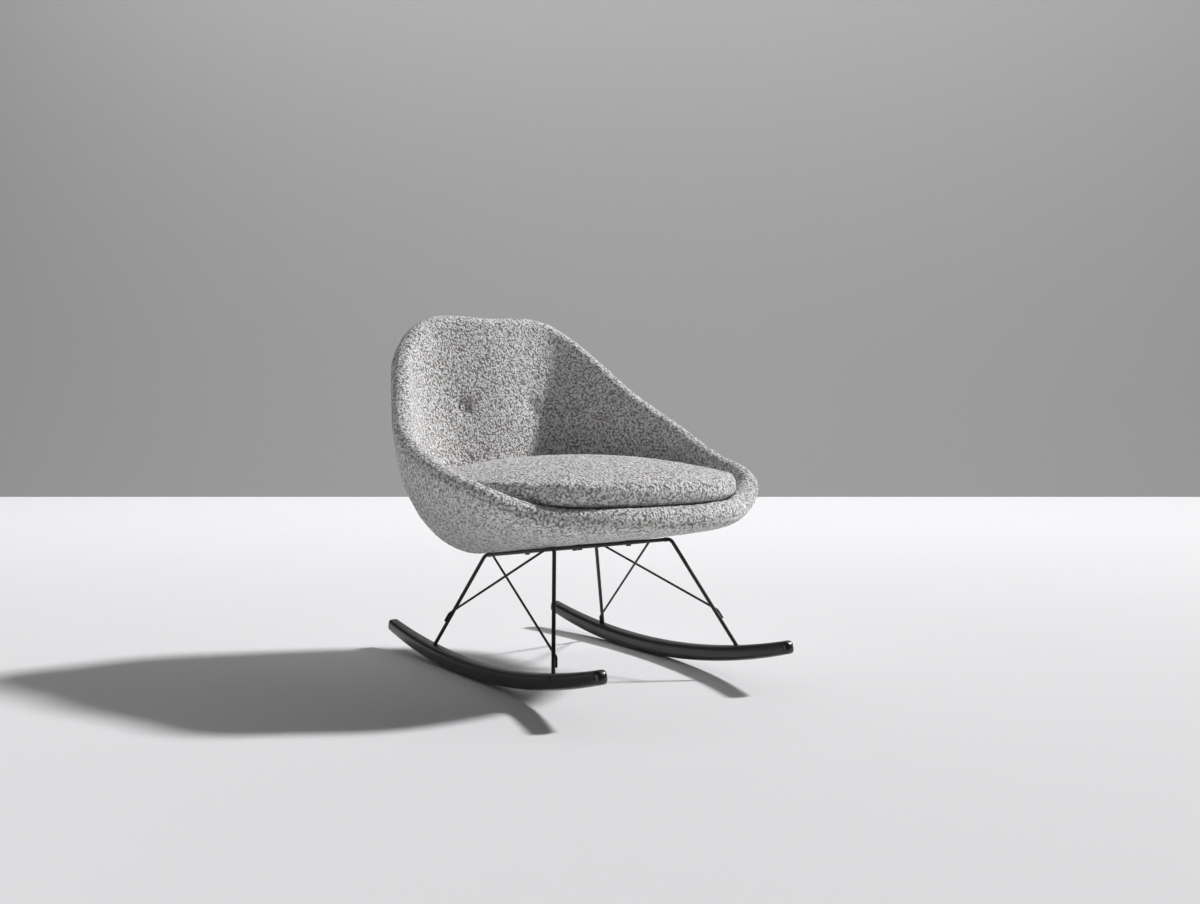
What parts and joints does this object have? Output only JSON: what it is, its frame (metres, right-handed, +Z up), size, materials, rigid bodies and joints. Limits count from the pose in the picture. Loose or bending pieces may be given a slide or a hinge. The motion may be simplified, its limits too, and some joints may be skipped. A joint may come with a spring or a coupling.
{
  "type": "rocking lounge chair",
  "caption": "Upholstered tub lounge chair with a rolled rim and a loose seat cushion, rocking on curved wooden runners under a braced bent-rod base.",
  "frame": {"origin": "on the floor, under the middle of the chair's bounding box, with the chair as it rests on its runners", "axes": "-Y points to the front of the chair, +X to the sitter's left, +Z up; the runners lie along Y"},
  "size_m": [0.7612, 0.8701, 0.7764],
  "materials": {
    "shell": "matte",
    "pad_fabric": "matte",
    "cover_fabric": "matte",
    "cushion_fabric": "matte",
    "button_fabric": "matte",
    "foam": "matte",
    "cord": "matte",
    "anchor_plastic": "matte",
    "plywood": "matte",
    "screw_steel": "satin",
    "zinc_steel": "satin",
    "black_metal": "satin",
    "black_wood": "gloss",
    "rubber": "matte"
  },
  "bodies": {
    "chair": {"tub_shell": "shell", "inner_pad": "pad_fabric", "outer_foam": "foam", "outer_cover": "cover_fabric", "mounting_board": "plywood", "leg_screws": "screw_steel", "tuft_buttons": "button_fabric", "tuft_cords": "cord", "tuft_anchors": "anchor_plastic", "mount_bolts": "screw_steel", "mount_washers": "screw_steel", "mount_nuts": "zinc_steel", "board_screws": "zinc_steel", "side_frame_left": "black_metal", "side_frame_right": "black_metal", "runner_left": "black_wood", "runner_right": "black_wood", "right_brace_to_rear": "black_metal", "right_brace_to_front": "black_metal", "left_brace_to_front": "black_metal", "left_brace_to_rear": "black_metal", "crossbar_rear": "black_metal", "crossbar_front": "black_metal", "mount_tab_front_left": "black_metal", "rubber_pad_front_left": "rubber", "mount_tab_front_right": "black_metal", "rubber_pad_front_right": "rubber", "mount_tab_rear_left": "black_metal", "rubber_pad_rear_left": "rubber", "mount_tab_rear_right": "black_metal", "rubber_pad_rear_right": "rubber"},
    "seat_cushion": {"cushion_core": "foam", "cushion_bottom_panel": "cushion_fabric", "cushion_side_band": "cushion_fabric", "cushion_top_panel": "cushion_fabric"}
  },
  "joints": [
    {"name": "cushion_lift", "type": "slide", "parent": "chair", "child": "seat_cushion", "axis": [0, 0, 1], "range_m": [0, 0.3]}
  ]
}
